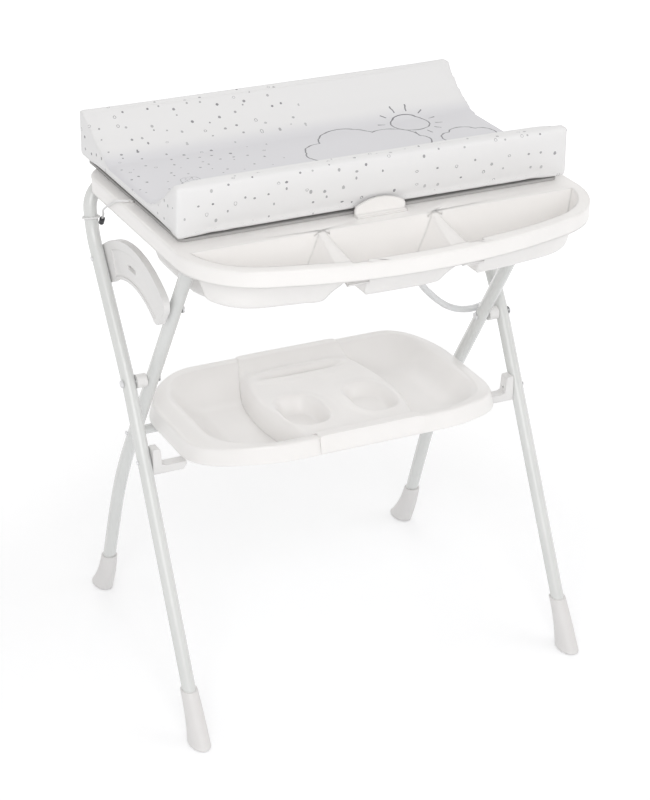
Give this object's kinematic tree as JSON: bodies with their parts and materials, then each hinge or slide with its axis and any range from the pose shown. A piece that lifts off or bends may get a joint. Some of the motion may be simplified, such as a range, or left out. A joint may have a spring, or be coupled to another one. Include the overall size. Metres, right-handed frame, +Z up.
{
  "type": "changing table with bathtub",
  "caption": "Folding baby changing table on crossed bent tubes, with a moulded bath and front trays under a padded dotted mat, and a moulded shelf below.",
  "frame": {"origin": "on the floor under the middle of the table's box", "axes": "+Z up, -Y front where the parent stands, +X right seen from the front"},
  "size_m": [0.8018, 0.7608, 1.033],
  "materials": {
    "white_tube": "gloss white powder coat",
    "foot_plastic": "satin white",
    "white_plastic": "satin white",
    "tub_plastic": "gloss white",
    "shelf_plastic": "gloss white",
    "zinc_steel": "zinc plated",
    "mat_vinyl": "soft wipe-clean vinyl, printed dots",
    "board": "plain hardboard",
    "drain_plastic": "satin",
    "plug_rubber": "matt",
    "ring_chrome": "bright",
    "hose_plastic": "cloudy flexible tube",
    "cord_fabric": "braided cord",
    "toggle_plastic": "satin dark"
  },
  "bodies": {
    "outer_frame": {"outer_frame_tube": "white_tube", "front_foot_left": "foot_plastic", "front_foot_right": "foot_plastic", "pivot_bolts": "zinc_steel", "pivot_spacers": "white_plastic", "pivot_nuts": "zinc_steel", "lock_sector": "white_plastic", "sector_screws": "zinc_steel", "shelf_hook_left": "white_plastic", "shelf_hook_right": "white_plastic", "hook_screws": "zinc_steel", "hose_clip": "white_plastic", "hose_cap": "drain_plastic", "drain_hose": "hose_plastic", "tie_loop": "cord_fabric", "tie_cord": "cord_fabric", "tie_toggle": "toggle_plastic"},
    "inner_frame": {"inner_leg_left": "white_tube", "inner_leg_right": "white_tube", "rear_foot_left": "foot_plastic", "rear_foot_right": "foot_plastic", "cross_tube": "white_tube", "cross_bolts": "zinc_steel", "rest_shoe_left": "white_plastic", "rest_shoe_right": "white_plastic", "guide_pin": "zinc_steel"},
    "tub": {"tub_shell": "tub_plastic", "bar_saddle_left": "white_plastic", "bar_saddle_right": "white_plastic", "mat_catch": "tub_plastic", "hinge_brackets": "white_plastic", "hinge_pins": "zinc_steel", "drain_outlet": "drain_plastic", "drain_nut": "drain_plastic", "tie_anchor_stud": "tub_plastic"},
    "mat": {"mat_cushion": "mat_vinyl", "mat_board": "board", "hinge_leaves": "white_plastic"},
    "shelf": {"shelf_tray": "shelf_plastic", "shelf_caddy": "shelf_plastic", "shelf_clips": "white_plastic"},
    "plug": {"drain_plug": "plug_rubber", "plug_ring": "ring_chrome"}
  },
  "joints": [
    {"name": "frame_fold", "type": "hinge", "parent": "outer_frame", "child": "inner_frame", "pos_m": [0, 0.042, 0.585], "axis": [-1, 0, 0], "range_deg": [0, 42]},
    {"name": "tub_tilt", "type": "hinge", "parent": "outer_frame", "child": "tub", "pos_m": [0, 0.22, 0.905], "axis": [-1, 0, 0], "range_deg": [0, 84], "deforming": ["drain_hose", "tie_cord"]},
    {"name": "shelf_tilt", "type": "hinge", "parent": "inner_frame", "child": "shelf", "pos_m": [0, 0.148, 0.43], "axis": [-1, 0, 0], "range_deg": [0, 63]},
    {"name": "mat_flip", "type": "hinge", "parent": "tub", "child": "mat", "pos_m": [0, 0.27, 0.919], "axis": [-1, 0, 0], "range_deg": [0, 92]},
    {"name": "plug_lift", "type": "slide", "parent": "tub", "child": "plug", "axis": [0, 0, 1], "range_m": [0, 0.02]}
  ],
  "couplings": [
    {"joint": "tub_tilt", "follows": "frame_fold", "ratio": 2},
    {"joint": "shelf_tilt", "follows": "frame_fold", "ratio": 1.5}
  ]
}
